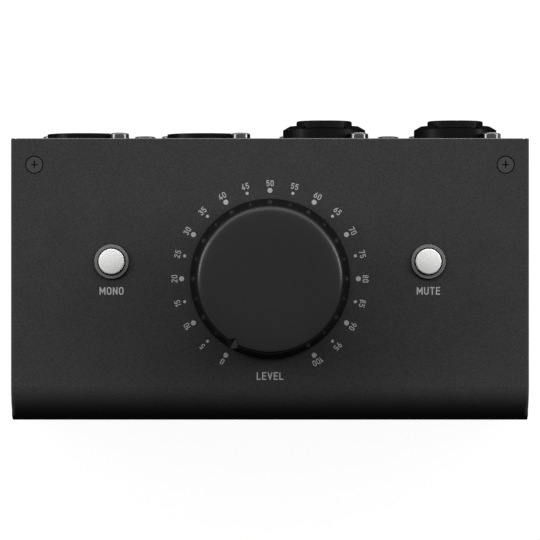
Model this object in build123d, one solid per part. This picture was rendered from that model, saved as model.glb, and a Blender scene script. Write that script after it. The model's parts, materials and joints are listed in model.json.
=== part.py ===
"""Desktop studio monitor controller: a folded sheet steel box with one large level knob and two
latching push buttons on top, two male XLR outputs and two combined XLR / 6.35 mm jack inputs at the
rear. Millimetres, +X right, +Y to the rear, +Z up. The origin is on the resting plane, under the
middle of the whole object, connectors included."""

import os
from math import cos, radians, sin, sqrt, tan

from build123d import *

# ---------------------------------------------------------------- casing
WIDTH = 145.0
TOP_DEPTH = 79.15  # front wall to the cover's rear edge
BODY_HEIGHT = 44.5  # underside of the base plate to the top face
SHEET = 1.0
FRONT_BEND_INNER_R = 8.65
SIDE_BEND_INNER_R = 0.2
REAR_EDGE_R = 0.3  # broken edge along the cover's rear
FRONT_CORNER_DROP = 4.5  # below the top, where the front corners turn square
RELIEF_FROM_SIDE = 0.95  # bend relief notch at each rear corner of the top
RELIEF_WIDTH = 0.75
RELIEF_DEPTH = 0.42
FRONT_FLANGE_DEPTH = 9.0  # cover flange that lies on the base plate
FRONT_FLANGE_END = 14.0  # from each side of the cover
PLATE_INSET = 0.15  # base plate behind the cover's outside
PANEL_RECESS = 0.2  # rear panel in from the cover's rear edge
SIDE_GAP = 0.3  # tray to the cover's side walls
LIP_DEPTH = 12.0  # tray lip under the cover's top
TRAY_BEND_R = 0.9
SIDE_FLANGE_HEIGHT = 8.0
SIDE_FLANGE_END = 14.0  # from the cover's front and from the rear panel
FOOT_HEIGHT = 2.5
FOOT_R = 5.0
FOOT_EDGE_R = 0.6
FOOT_FROM_SIDE = 14.5
FOOT_FROM_END = 13.0

# ---------------------------------------------------------------- screws, nuts and posts
CROSS_SHARE = 0.58  # driver's cross to the head's radius
CROSS_ARM_SHARE = 0.17  # half an arm's width to the cross's reach
CROSS_TIP_SHARE = 0.35  # reach at the bottom of the cross
CROSS_DEPTH_SHARE = 0.6  # to the head's height
HEAD_DOME_SHARE = 0.16  # crown and rounded rim of a pan head, each to the head's height
THREAD_GAP = 0.04  # radial, screw to its threaded hole
HOLE_GAP = 0.2  # radial, screw to a through hole
COVER_SCREW_R = 1.25
COVER_HEAD_R = 2.24
COVER_HEAD_EDGE = 0.35  # upright edge of the head, above its cone
COVER_HEAD_GAP = 0.28  # radial, open ring round that edge
COVER_HEAD_SINK = 0.08  # head below the panel's face
COVER_CROSS_SHARE = 0.52  # driver's cross to the head's radius
COVER_CROSS_DEPTH = 0.7
COVER_SCREW_LENGTH = 6.0
COVER_SCREW_FROM_SIDE = 6.6
COVER_SCREW_FROM_REAR = 7.4
BASE_SCREW_R = 1.5
BASE_HEAD_R = 2.6
BASE_HEAD_HEIGHT = 1.5
BASE_SCREW_FROM_SIDE = 36.0
BASE_SCREW_FROM_FRONT = 5.4
BASE_SCREW_PAST_NUT = 2.25
NUT_RING = 1.1  # wall of a clinch nut
NUT_HEIGHT = 2.0
POST_RING = 1.5  # wall of a standoff round its screw
POST_BORE_SPARE = 0.5  # bore past the screw's end
BOARD_SCREW_R = 1.25
BOARD_HEAD_R = 2.3
BOARD_HEAD_HEIGHT = 1.6
BOARD_SCREW_REACH = 3.8  # into the standoff
FLANGE_SCREW_R = 1.25
FLANGE_HEAD_R = 2.75
FLANGE_HEAD_HEIGHT = 2.3
FLANGE_SCREW_REACH = 8.0  # threaded depth of the connector housing
FLANGE_SCREW_SPARE = 1.0  # screw's end above the bottom of that thread
BRACKET_SCREW_R = 1.5
BRACKET_HEAD_R = 3.04
BRACKET_HEAD_HEIGHT = 2.15
BRACKET_SCREW_REACH = 3.0

# ---------------------------------------------------------------- rear connectors
OUTPUT_NAMES = ("output_left", "output_right")
INPUT_NAMES = ("input_left", "input_right")
HOUSING_CLEARANCE = 0.2  # housing to the least room that its neighbours need
SPARE_SHARES = (0.288, 0.0, 0.219, 0.219)  # of the spare width, to the gap left of each housing
CONNECTOR_HEIGHT = 13.9  # connector axis above the main board
HOUSING_WIDTH = 26.0
HOUSING_RISE = 13.5  # housing top above the axis
HOUSING_CORNER = 2.5
HOUSING_DEPTH = 25.0  # behind the rear panel
FLANGE_SCREW_UP = 11.2
OUTPUT_SCREW_SIDE = 10.2
INPUT_SCREW_SIDE = 9.85
INPUT_SCREW_SHIFT = -0.25  # middle of an input's screws from its axis
FACE_GAP = 0.15  # radial, connector face to its panel hole
OUTPUT_FACE_R = 10.9
OUTPUT_PROUD = 1.95
OUTPUT_EDGE_R = 0.25
CUP_R = 8.15
CUP_DEPTH = 15.0
CUP_KEY_WIDTH = 1.3
CUP_KEY_HEIGHT = 0.8
CUP_KEY_SETBACK = 2.0  # key behind the face
PIN_R = 1.2
PIN_CIRCLE_R = 5.1
PIN_ANGLES = (35.0, 145.0, 270.0)
PIN_LENGTH = 11.5  # above the cup's floor
PIN_TIP_R = 0.8
PIN_FIT = 0.03
TAIL_R = 0.5
TAIL_HOLE_GAP = 0.1
TAIL_OUT = 1.0  # solder tails behind the housing
TAIL_BELOW_BOARD = 1.0

INPUT_FACE_R = 11.8
INPUT_PROUD = 4.2
COLLAR_CHAMFER = 1.1
COLLAR_CHAMFER_IN = 1.9
GROOVE_R = 9.4
GROOVE_DEPTH = 14.0  # from the collar's front
INSERT_R = 7.95
INSERT_PROUD = 5.7
INSERT_FIT = 0.03
INSERT_EDGE_R = 0.5
SPIGOT_R = 6.5
KEY_SLOT_WIDTH = 1.5
KEY_SLOT_DEPTH = 1.0
JACK_R = 3.25
SOCKET_R = 1.35
SLEEVE_WALL = 0.25  # XLR contact sleeve
SLEEVE_SETBACK = 3.0  # sleeve behind the insert's face
SLEEVE_LENGTH = 9.0
BLADE = 1.0  # jack contact blade, square
BLADE_SIDE = 2.6  # blade beside the connector's axis
BLADE_GAP = 0.1  # blade to its channel and to the plug's path
BLADE_CHANNEL_RISE = 1.0  # channel above the blade, into the jack's bore
BLADE_SETBACKS = (6.0, 13.0, 19.0)  # behind the rear panel

# ---------------------------------------------------------------- latch of an input
LATCH_LOW = 9.2  # underside of the lever above the axis
LATCH_THICK = 1.0
LATCH_WIDTH = 7.4
LATCH_SIDE_GAP = 0.2
LATCH_TOP_GAP = 0.25
LATCH_PAD_IN_R = 9.25
LATCH_PAD_R = 10.9
LATCH_PAD_HALF_ANGLE = 30.0
LATCH_PAD_START = 3.55  # ahead of the cover's rear edge
LATCH_PAD_END = 5.4
LATCH_NOTCH_MARGIN = 3.0  # degrees past each end of the pad
LATCH_NOTCH_START = 3.3
PIVOT_SETBACK = 21.0  # behind the rear panel
PIVOT_R = 0.75
PIVOT_EYE_R = 1.6
PIVOT_REACH = 2.0  # pin in the housing at each side
PIVOT_PLAY = 0.03
LATCH_SPRING_SETBACK = 15.5
LATCH_SPRING_FLOOR = 0.4  # spring seat above the insert's spigot
LATCH_SPRING_R = 1.2
LATCH_SPRING_WIRE_R = 0.15
LATCH_SPRING_GAP = 0.3  # round the spring in its pocket
LATCH_SPRING_TURNS = 4

# ---------------------------------------------------------------- boards
BOARD = 1.6
MAIN_BOARD_RISE = 5.5  # above the base plate
MAIN_BOARD_AHEAD_OF_RIBBON = 8.7
MAIN_BOARD_REAR_GAP = 1.0
MAIN_POST_FROM_FRONT = 4.5
MAIN_POST_FROM_END = 5.0
MAIN_POST_FROM_REAR = 6.0
BRACKET_WIDTH = 7.0
BRACKET_SIDE_GAP = 0.65  # bracket to the outputs' housings beside it
BRACKET_HEIGHT = 9.0
BRACKET_DEPTH = 8.0
BRACKET_SCREW_HEIGHT = 4.6  # above the main board
BRACKET_SHIFTS = (-0.45, -0.1)  # from the middle between two housings
RESISTOR_COUNT = 12
RESISTOR_SIZE = (3.2, 1.6, 0.6)
RESISTOR_PITCH = 5.0
RESISTORS_BEHIND_RIBBON = 7.3
CONTROL_BOARD_FROM_SIDE = 20.5
CONTROL_BOARD_FRONT_OF_KNOB = 22.0
CONTROL_BOARD_BEHIND_KNOB = 10.6
CONTROL_POST_FROM_END = 22.0
CONTROL_POST_FRONT = 14.5  # ahead of the knob's axis
CONTROL_POST_REAR = 6.5  # behind the knob's axis
RIBBON_WIDTH = 20.3
RIBBON_THICK = 0.9
RIBBON_BEND_R = 2.9
RIBBON_BEND_SHARE = 0.8  # largest bend radius to the free height beyond a socket
RIBBON_SPAN = 10.0  # between its two vertical ends
RIBBON_FROM_BOARD_FRONT = 3.2
SOCKET_WALL = 1.6
SOCKET_HEIGHT = 3.0
SOCKET_GAP = 0.05

# ---------------------------------------------------------------- level control
KNOB_FROM_REAR = 39.3
SKIRT_GAP = 0.8  # skirt above the panel
SKIRT_R = 22.4
SKIRT_SLOPE = 25.0  # degrees from upright
SKIRT_RISE = 3.4
KNOB_SEAM = 0.25  # open seam between skirt and shell
KNOB_SINK = 1.0  # shell's lower edge below the skirt's rim
KNOB_R = 20.44
KNOB_HEIGHT = 17.0  # above the panel
KNOB_SHOULDER = 4.0  # height in which the crowned top turns into the wall
KNOB_SHOULDER_PULL = 1.65  # control point of that curve below the top
KNOB_WALL = 2.5
KNOB_FIT = 0.05
KNOB_WEB = 1.5
KNOB_SPIGOT_WALL = 1.6
KNOB_SPIGOT_HEIGHT = 4.0
HUB_R = 6.0
HUB_CLEARANCE = 0.6  # hub above the bushing
HUB_TOP = 1.2  # closed end of the hub
POINTER_ANGLE = -120.0
NOTCH_DEPTH = 1.7
NOTCH_HALF_WIDTH = 2.0
NOTCH_CLEARANCE = 0.2
NOTCH_APEX_R = 0.25
NOTCH_MOUTH_R = 0.6
POINTER_RISE = 2.6  # ridge's inner end above the skirt's top edge
POINTER_FALL = 3.2  # ridge's outer end below its inner end
POINTER_FLANK = 26.0  # degrees from level
POINTER_INSET = 0.15  # nose and base in from the skirt's lower edge
CLIP_WALL = 0.5
CLIP_HEIGHT = 4.0
CLIP_GAP_WIDTH = 6.0
POT_SIZE = 17.0
POT_PLATE = 1.5
POT_GANGS = 4
POT_WAFER = 4.4
POT_CORNER = 2.0
POT_CAVITY_R = 6.5
POT_CAVITY_DEPTH = 3.0
POT_TRACK = 0.4
POT_TRACK_R = 6.3
POT_WIPER_R = 6.0
POT_WIPER = 1.6
POT_PLAY = 0.3  # shaft and wipers in the wafers
POT_ABOVE_BOARD = 1.3
TERMINAL = 0.8
TERMINAL_PITCH = 5.0
TERMINAL_ROW = 1.6
SHAFT_R = 3.0
SHAFT_TOP = 13.0  # above the panel
SHAFT_FLAT = 1.5  # flat from the shaft's axis
SHAFT_PLAY = 0.05
BUSHING_R = 4.5
BUSHING_TOP = 5.0
BUSHING_GAP = 0.15
WASHER_R = 6.5
WASHER = 0.5
POT_NUT_R = 6.9  # across corners
POT_NUT = 2.0

# ---------------------------------------------------------------- push buttons
BUTTON_FROM_SIDE = 28.2
BUTTON_FROM_REAR = 34.5
BEZEL_R = 4.8
BEZEL_BORE_R = 3.95
BEZEL_PROUD = 0.5
BEZEL_STEM_R = 4.4
BEZEL_STEM_GAP = 0.05
BEZEL_STEM_LENGTH = 2.0  # below the top sheet
BEZEL_EDGE_R = 0.15
CAP_R = 3.58
CAP_PROUD = 1.5
CAP_LENGTH = 8.0
CAP_DOME = 0.35
CAP_EDGE_R = 0.4
CAP_SOCKET_DEPTH = 4.0
CAP_SOCKET_GAP = 0.05
BUTTON_TRAVEL = 2.2
SWITCH_SIZE = 8.5
SWITCH_TERMINAL_INSET = 1.2
SWITCH_CORNER = 0.6
SWITCH_TOP = 1.0
SWITCH_FLOOR = 1.2
SWITCH_BORE_R = 2.7
PLUNGER = 3.2
PLUNGER_GAP = 0.1
PLUNGER_FLANGE_R = 2.4
PLUNGER_FLANGE = 1.5
BUTTON_SPRING_R = 1.9
BUTTON_SPRING_WIRE_R = 0.2
BUTTON_SPRING_TURNS = 5
BUTTON_SPRING_PRESSED = 3.1  # spring's height at full travel
SPRING_SEAT_GAP = 0.05

# ---------------------------------------------------------------- places that follow
half_width = WIDTH / 2
front_y = -(TOP_DEPTH + INSERT_PROUD) / 2
rear_y = front_y + TOP_DEPTH
panel_out = rear_y - PANEL_RECESS
panel_in = panel_out - SHEET
plate_low = FOOT_HEIGHT
plate_top = plate_low + SHEET
top_z = plate_low + BODY_HEIGHT
ceiling_z = top_z - SHEET
tray_half = half_width - SHEET - SIDE_GAP
main_low = plate_top + MAIN_BOARD_RISE
main_top = main_low + BOARD
axis_z = main_top + CONNECTOR_HEIGHT
main_rear = panel_in - MAIN_BOARD_REAR_GAP
housing_back = panel_in - HOUSING_DEPTH
tail_y = housing_back - TAIL_OUT
knob_y = rear_y - KNOB_FROM_REAR
button_y = rear_y - BUTTON_FROM_REAR
pot_plate_low = ceiling_z - POT_PLATE
pot_low = pot_plate_low - POT_GANGS * POT_WAFER
control_top = pot_low - POT_ABOVE_BOARD
control_low = control_top - BOARD
control_half = half_width - CONTROL_BOARD_FROM_SIDE
control_front = knob_y - CONTROL_BOARD_FRONT_OF_KNOB
control_rear = knob_y + CONTROL_BOARD_BEHIND_KNOB
ribbon_y_top = control_front + RIBBON_FROM_BOARD_FRONT
ribbon_y_low = ribbon_y_top + RIBBON_SPAN
main_front = ribbon_y_low - MAIN_BOARD_AHEAD_OF_RIBBON
inner_half = half_width - SHEET
side_need = SIDE_GAP + SHEET + HOUSING_CLEARANCE
bracket_need = BRACKET_WIDTH + 2 * BRACKET_SIDE_GAP
screw_need = 2 * BOARD_HEAD_R + HOUSING_CLEARANCE
gap_needs = (side_need, bracket_need, screw_need, bracket_need)
spare_width = 2 * inner_half - len(gap_needs) * HOUSING_WIDTH - sum(gap_needs) - side_need
axis_x = []
edge_x = -inner_half
for need, share in zip(gap_needs, SPARE_SHARES):
    edge_x += need + share * spare_width + HOUSING_WIDTH
    axis_x.append(edge_x - HOUSING_WIDTH / 2)
outputs = axis_x[: len(OUTPUT_NAMES)]
inputs = axis_x[len(OUTPUT_NAMES) :]
output_x = dict(zip(OUTPUT_NAMES, outputs))
input_x = dict(zip(INPUT_NAMES, inputs))
main_half = edge_x  # the board reaches the last housing's side
bracket_x = [sum(pair) / 2 + shift for pair, shift in zip((outputs, inputs), BRACKET_SHIFTS)]
bracket_screw_z = main_top + BRACKET_SCREW_HEIGHT
middle_gap_x = (max(outputs) + min(inputs)) / 2

STAND = (Align.CENTER, Align.CENTER, Align.MIN)
TOUCH = 1e-3  # closer than this counts as touching
SIDES = (-1, 1)


# ---------------------------------------------------------------- small builders
def block(x0, x1, y0, y1, z0, z1):
    middle = Pos((x0 + x1) / 2, (y0 + y1) / 2, (z0 + z1) / 2)
    return middle * Box(x1 - x0, y1 - y0, z1 - z0)


def rod_x(y, z, x0, x1, r):
    return Pos(x0, y, z) * Rot(0, 90, 0) * Cylinder(r, x1 - x0, align=STAND)


def rod_y(x, z, y0, y1, r):
    return Pos(x, y0, z) * Rot(-90, 0, 0) * Cylinder(r, y1 - y0, align=STAND)


def rod_z(x, y, z0, z1, r):
    return Pos(x, y, z0) * Cylinder(r, z1 - z0, align=STAND)


def ring_z(x, y, z0, z1, r_out, r_in):
    return rod_z(x, y, z0, z1, r_out) - rod_z(x, y, z0, z1, r_in)


def end_rim(solid, axis):
    """The outermost circular edge at the far end of a turned piece."""
    return solid.edges().filter_by(GeomType.CIRCLE).group_by(axis)[-1].sort_by(SortBy.RADIUS)[-1]


def domed_rod(x, y, z0, z1, r, dome, edge_r):
    """Upright rod with a crowned top and a rounded rim."""
    crown_r = (r**2 + dome**2) / (2 * dome)
    rod = rod_z(x, y, z0, z1, r) & Pos(x, y, z1 - crown_r) * Sphere(crown_r)
    rims = ShapeList([edge for edge in rod.edges() if edge.is_closed])
    return fillet(rims.sort_by(Axis.Z)[-1], edge_r)


def coil(x, y, z0, z1, r, wire_r, turns):
    """Compression spring between two seats."""
    low = z0 + wire_r + SPRING_SEAT_GAP
    height = z1 - z0 - 2 * (wire_r + SPRING_SEAT_GAP)
    path = Pos(x, y, low) * Helix(pitch=height / turns, height=height, radius=r)
    section = Plane(origin=path @ 0, z_dir=path % 0) * Circle(wire_r)
    return sweep(section, path=path)


def cross_recess(r, depth):
    """Cross for a driver, its mouth at z = 0, tapering downwards."""
    half_arm = CROSS_ARM_SHARE * r
    arm = block(-r, r, -half_arm, half_arm, -depth, 0)
    taper = Pos(0, 0, -depth) * Cone(CROSS_TIP_SHARE * r, r, depth, align=STAND)
    return (arm + Rot(0, 0, 90) * arm) & taper


def pan_screw(head_r, head_height, shank_r, length):
    """Head on z = 0 and up, shank below."""
    dome = HEAD_DOME_SHARE * head_height
    head = domed_rod(0, 0, 0, head_height, head_r, dome, dome)
    shank = rod_z(0, 0, -length, 0, shank_r)
    cross = cross_recess(CROSS_SHARE * head_r, CROSS_DEPTH_SHARE * head_height)
    return head + shank - Pos(0, 0, head_height) * cross


def flat_screw(head_r, edge, shank_r, length):
    """Countersunk at 90 degrees below an upright edge, head flat at z = 0, shank below."""
    cone_height = head_r - shank_r
    head = Pos(0, 0, -edge - cone_height) * Cone(shank_r, head_r, cone_height, align=STAND)
    head += rod_z(0, 0, -edge, 0, head_r)
    shank = rod_z(0, 0, -length, -edge - cone_height / 2, shank_r)
    return head + shank - cross_recess(COVER_CROSS_SHARE * head_r, COVER_CROSS_DEPTH)


def facing_rear(x, z, y, solid):
    return Pos(x, y, z) * Rot(-90, 0, 0) * solid


# ---------------------------------------------------------------- casing
def cover_form(inset, bend_r, side_r, z_low):
    """Solid with the cover's shape, set in from its outside. Its front corners are square low down."""
    form = block(inset - half_width, half_width - inset, front_y + inset, rear_y, z_low, top_z - inset)
    front_top = form.edges().filter_by(Axis.X).sort_by(Axis.Z)[-2:].sort_by(Axis.Y)[0]
    form = fillet(front_top, bend_r)
    corner_top = top_z - FRONT_CORNER_DROP
    square = form & block(-half_width, half_width, front_y, front_y + bend_r, z_low, corner_top)
    sides = form.faces().filter_by(Axis.X)
    chain = [
        edge
        for edge in sides.edges()
        if edge.center().Z > z_low + TOUCH and edge.center().Y < rear_y - TOUCH
    ]
    return fillet(chain, side_r) + square


def relief_notch(side):
    """Notch with one slanted side, where the side wall's bend ends."""
    outer_x = side * (half_width - RELIEF_FROM_SIDE)
    inner_x = outer_x - side * RELIEF_WIDTH
    slant_x = inner_x + side * RELIEF_DEPTH
    bottom_y = rear_y - RELIEF_DEPTH
    corners = [(inner_x, rear_y), (slant_x, bottom_y), (outer_x, bottom_y), (outer_x, rear_y)]
    notch = extrude(make_face(Polyline(*corners, close=True)), amount=2 * SHEET)
    return Pos(0, 0, ceiling_z - SHEET) * notch


cover_screw_y = rear_y - COVER_SCREW_FROM_REAR
cover_screw_places = [(side * (half_width - COVER_SCREW_FROM_SIDE), cover_screw_y) for side in SIDES]
cover_sink_r = COVER_HEAD_R - (SHEET - COVER_HEAD_SINK - COVER_HEAD_EDGE)  # hole at the sheet's underside
base_screw_y = front_y + BASE_SCREW_FROM_FRONT
base_screw_places = [(side * (half_width - BASE_SCREW_FROM_SIDE), base_screw_y) for side in SIDES]
button_places = {"mono": BUTTON_FROM_SIDE - half_width, "mute": half_width - BUTTON_FROM_SIDE}


def top_cover():
    outside = cover_form(0, FRONT_BEND_INNER_R + SHEET, SIDE_BEND_INNER_R + SHEET, plate_top)
    inside = cover_form(SHEET, FRONT_BEND_INNER_R, SIDE_BEND_INNER_R, plate_top - SHEET)
    cover = outside - inside
    rear_edge = cover.edges().filter_by(Axis.X).group_by(Axis.Y)[-1].sort_by(Axis.Z)[-1]
    cover = fillet(rear_edge, REAR_EDGE_R)
    flange_half = half_width - FRONT_FLANGE_END
    flange_y = (front_y + SHEET / 2, front_y + FRONT_FLANGE_DEPTH)
    cover += block(-flange_half, flange_half, *flange_y, plate_top, plate_top + SHEET)
    cover -= rod_z(0, knob_y, ceiling_z, top_z, BUSHING_R + BUSHING_GAP)
    for x in button_places.values():
        cover -= rod_z(x, button_y, ceiling_z, top_z, BEZEL_STEM_R + BEZEL_STEM_GAP)
    seat_z = top_z - COVER_HEAD_SINK - COVER_HEAD_EDGE
    for x, y in cover_screw_places:
        seat_height = seat_z - ceiling_z
        cover -= Pos(x, y, ceiling_z) * Cone(cover_sink_r, COVER_HEAD_R, seat_height, align=STAND)
        cover -= rod_z(x, y, seat_z, top_z, COVER_HEAD_R + COVER_HEAD_GAP)
    for x, y in base_screw_places:
        cover -= rod_z(x, y, plate_top, plate_top + SHEET, BASE_SCREW_R + HOLE_GAP)
    for side in SIDES:
        cover -= relief_notch(side)
    return cover


def base_tray():
    plate_half = half_width - PLATE_INSET
    tray = block(-plate_half, plate_half, front_y + PLATE_INSET, panel_out, plate_low, plate_top)
    rear = block(-tray_half, tray_half, panel_in, panel_out, plate_low, ceiling_z)
    rear += block(-tray_half, tray_half, panel_in - LIP_DEPTH, panel_out, ceiling_z - SHEET, ceiling_z)
    bend = rear.edges().filter_by(Axis.X).group_by(Axis.Y)[-1].sort_by(Axis.Z)[-1]
    tray += fillet(bend, TRAY_BEND_R)
    flange_front = front_y + SIDE_FLANGE_END
    flange_rear = panel_in - SIDE_FLANGE_END
    flange_top = plate_top + SIDE_FLANGE_HEIGHT
    for side in SIDES:
        flange_x = sorted((side * tray_half, side * (tray_half - SHEET)))
        tray += block(*flange_x, flange_front, flange_rear, plate_low, flange_top)
    lip_hole_r = cover_sink_r + HOLE_GAP
    for x, y in cover_screw_places:
        tray -= rod_z(x, y, ceiling_z - SHEET, ceiling_z, lip_hole_r)
    for x, y in base_screw_places:
        tray -= rod_z(x, y, plate_low, plate_top, BASE_SCREW_R + HOLE_GAP)
    for x in outputs:
        tray -= rod_y(x, axis_z, panel_in, panel_out, OUTPUT_FACE_R + FACE_GAP)
    for x in inputs:
        tray -= rod_y(x, axis_z, panel_in, panel_out, INPUT_FACE_R + FACE_GAP)
    for x, z in flange_screw_places:
        tray -= rod_y(x, z, panel_in, panel_out, FLANGE_SCREW_R + HOLE_GAP)
    for x in bracket_x:
        tray -= rod_y(x, bracket_screw_z, panel_in, panel_out, BRACKET_SCREW_R + HOLE_GAP)
    return tray


def rubber_feet():
    foot = Cylinder(FOOT_R, FOOT_HEIGHT, align=STAND)
    foot = fillet(foot.edges().group_by(Axis.Z)[0], FOOT_EDGE_R)
    foot_x = half_width - FOOT_FROM_SIDE
    foot_y = (front_y + FOOT_FROM_END, panel_out - FOOT_FROM_END)
    return [Pos(x, y, 0) * foot for x in (-foot_x, foot_x) for y in foot_y]


def cover_screws():
    screw = flat_screw(COVER_HEAD_R, COVER_HEAD_EDGE, COVER_SCREW_R, COVER_SCREW_LENGTH)
    return [Pos(x, y, top_z - COVER_HEAD_SINK) * screw for x, y in cover_screw_places]


def cover_nuts():
    top = ceiling_z - SHEET
    bore_r = COVER_SCREW_R + THREAD_GAP
    return [ring_z(x, y, top - NUT_HEIGHT, top, bore_r + NUT_RING, bore_r) for x, y in cover_screw_places]


def base_screws():
    length = 2 * SHEET + NUT_HEIGHT + BASE_SCREW_PAST_NUT
    screw = Rot(180, 0, 0) * pan_screw(BASE_HEAD_R, BASE_HEAD_HEIGHT, BASE_SCREW_R, length)
    return [Pos(x, y, plate_low) * screw for x, y in base_screw_places]


def base_nuts():
    low = plate_top + SHEET
    bore_r = BASE_SCREW_R + THREAD_GAP
    return [ring_z(x, y, low, low + NUT_HEIGHT, bore_r + NUT_RING, bore_r) for x, y in base_screw_places]


# ---------------------------------------------------------------- rear connectors
def screw_pair(x, side):
    """One screw up on the right and one down on the left of each connector."""
    return [(x + side, axis_z + FLANGE_SCREW_UP), (x - side, axis_z - FLANGE_SCREW_UP)]


def output_screws(x):
    return screw_pair(x, OUTPUT_SCREW_SIDE)


def input_screws(x):
    return screw_pair(x + INPUT_SCREW_SHIFT, INPUT_SCREW_SIDE)


flange_screw_places = [place for x in outputs for place in output_screws(x)]
flange_screw_places += [place for x in inputs for place in input_screws(x)]


def pin_places(x):
    return [(x + PIN_CIRCLE_R * cos(radians(a)), axis_z + PIN_CIRCLE_R * sin(radians(a))) for a in PIN_ANGLES]


def connector_housing(x, face_r, proud, screws):
    """Moulded body behind the panel with its round face through the panel."""
    half = HOUSING_WIDTH / 2
    housing = block(x - half, x + half, housing_back, panel_in, main_top, axis_z + HOUSING_RISE)
    top_edges = housing.edges().filter_by(Axis.Y).group_by(Axis.Z)[-1]
    housing = chamfer(top_edges, HOUSING_CORNER)
    housing += rod_y(x, axis_z, panel_in, rear_y + proud, face_r)
    hole_back = panel_in - FLANGE_SCREW_REACH
    for screw_x, screw_z in screws:
        housing -= rod_y(screw_x, screw_z, hole_back, panel_in, FLANGE_SCREW_R + THREAD_GAP)
    return housing


def solder_tail(x, z):
    """Wire from a contact's rear end down through the main board."""
    return rod_z(x, tail_y, main_low - TAIL_BELOW_BOARD, z, TAIL_R)


def output_shell(x):
    shell = connector_housing(x, OUTPUT_FACE_R, OUTPUT_PROUD, output_screws(x))
    shell = fillet(end_rim(shell, Axis.Y), OUTPUT_EDGE_R)
    face = rear_y + OUTPUT_PROUD
    floor = face - CUP_DEPTH
    cup = rod_y(x, axis_z, floor, face, CUP_R)
    key_low = axis_z + CUP_R - CUP_KEY_HEIGHT
    key_x = (x - CUP_KEY_WIDTH / 2, x + CUP_KEY_WIDTH / 2)
    key = block(*key_x, floor, face - CUP_KEY_SETBACK, key_low, axis_z + CUP_R)
    shell -= cup - key
    for pin_x, pin_z in pin_places(x):
        shell -= rod_y(pin_x, pin_z, housing_back, floor, PIN_R + PIN_FIT)
    return shell


def output_pins(x):
    floor = rear_y + OUTPUT_PROUD - CUP_DEPTH
    pins = []
    for pin_x, pin_z in pin_places(x):
        pin = rod_y(pin_x, pin_z, tail_y - 2 * TAIL_R, floor + PIN_LENGTH, PIN_R)
        pin = fillet(end_rim(pin, Axis.Y), PIN_TIP_R)
        pins.append(pin + solder_tail(pin_x, pin_z))
    return pins


def sector(x, r_in, r_out, half_angle, y0, y1):
    """Piece of a ring about the connector's axis, its middle upwards."""
    reach = 2 * r_out
    side_x = reach * sin(radians(half_angle))
    side_z = reach * cos(radians(half_angle))
    outline = Polyline((0, 0), (side_x, side_z), (-side_x, side_z), close=True)
    wedge = Plane(origin=(x, y1, axis_z), x_dir=(1, 0, 0), z_dir=(0, -1, 0)) * make_face(outline)
    ring = rod_y(x, axis_z, y0, y1, r_out) - rod_y(x, axis_z, y0, y1, r_in)
    return ring & extrude(wedge, amount=y1 - y0)


def input_shell(x):
    shell = connector_housing(x, INPUT_FACE_R, INPUT_PROUD, input_screws(x))
    shell = chamfer(end_rim(shell, Axis.Y), COLLAR_CHAMFER, COLLAR_CHAMFER_IN)
    face = rear_y + INPUT_PROUD
    floor = face - GROOVE_DEPTH
    shell -= rod_y(x, axis_z, floor, face, GROOVE_R)
    shell -= rod_y(x, axis_z, housing_back, floor, SPIGOT_R + INSERT_FIT)
    notch_angle = LATCH_PAD_HALF_ANGLE + LATCH_NOTCH_MARGIN
    shell -= sector(x, INSERT_R, 2 * INPUT_FACE_R, notch_angle, rear_y + LATCH_NOTCH_START, face)
    slot_half = LATCH_WIDTH / 2 + LATCH_SIDE_GAP
    slot_low = axis_z + INSERT_R
    slot_top = axis_z + LATCH_LOW + LATCH_THICK + LATCH_TOP_GAP
    shell -= block(x - slot_half, x + slot_half, panel_in, face, slot_low, slot_top)
    trough_back = panel_in - PIVOT_SETBACK - 2 * PIVOT_EYE_R
    shell -= block(x - slot_half, x + slot_half, trough_back, panel_in, slot_low, axis_z + 2 * HOUSING_RISE)
    pivot_y = panel_in - PIVOT_SETBACK
    pin_half = slot_half + PIVOT_REACH
    shell -= rod_x(pivot_y, latch_pivot_z, x - pin_half, x + pin_half, PIVOT_R + PIVOT_PLAY)
    spring_y = panel_in - LATCH_SPRING_SETBACK
    pocket_r = LATCH_SPRING_R + LATCH_SPRING_WIRE_R + LATCH_SPRING_GAP
    shell -= rod_z(x, spring_y, latch_spring_low, slot_low, pocket_r)
    for place in blade_places(x):
        shell -= blade_channel(*place)
    return shell


latch_pivot_z = axis_z + LATCH_LOW + LATCH_THICK / 2
latch_spring_low = axis_z + SPIGOT_R + LATCH_SPRING_FLOOR
blade_top = axis_z - sqrt((JACK_R + BLADE_GAP) ** 2 - (BLADE_SIDE - BLADE / 2) ** 2)


def blade_places(x):
    return [(x + BLADE_SIDE, panel_in - setback) for setback in BLADE_SETBACKS]


def blade_channel(x, y):
    half = BLADE / 2 + BLADE_GAP
    return block(x - half, x + half, y - half, y + half, main_top, blade_top + BLADE_CHANNEL_RISE)


def input_insert(x):
    face = rear_y + INSERT_PROUD
    floor = rear_y + INPUT_PROUD - GROOVE_DEPTH
    insert = rod_y(x, axis_z, floor, face, INSERT_R)
    insert = fillet(end_rim(insert, Axis.Y), INSERT_EDGE_R)
    insert += rod_y(x, axis_z, housing_back, floor, SPIGOT_R)
    insert -= rod_y(x, axis_z, housing_back, face, JACK_R)
    for pin_x, pin_z in pin_places(x):
        insert -= rod_y(pin_x, pin_z, housing_back, face, SOCKET_R)
    key_x = (x - KEY_SLOT_WIDTH / 2, x + KEY_SLOT_WIDTH / 2)
    key_low = axis_z + INSERT_R - KEY_SLOT_DEPTH
    insert -= block(*key_x, floor, face, key_low, axis_z + INSERT_R)
    for place in blade_places(x):
        insert -= blade_channel(*place)
    return insert


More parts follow.
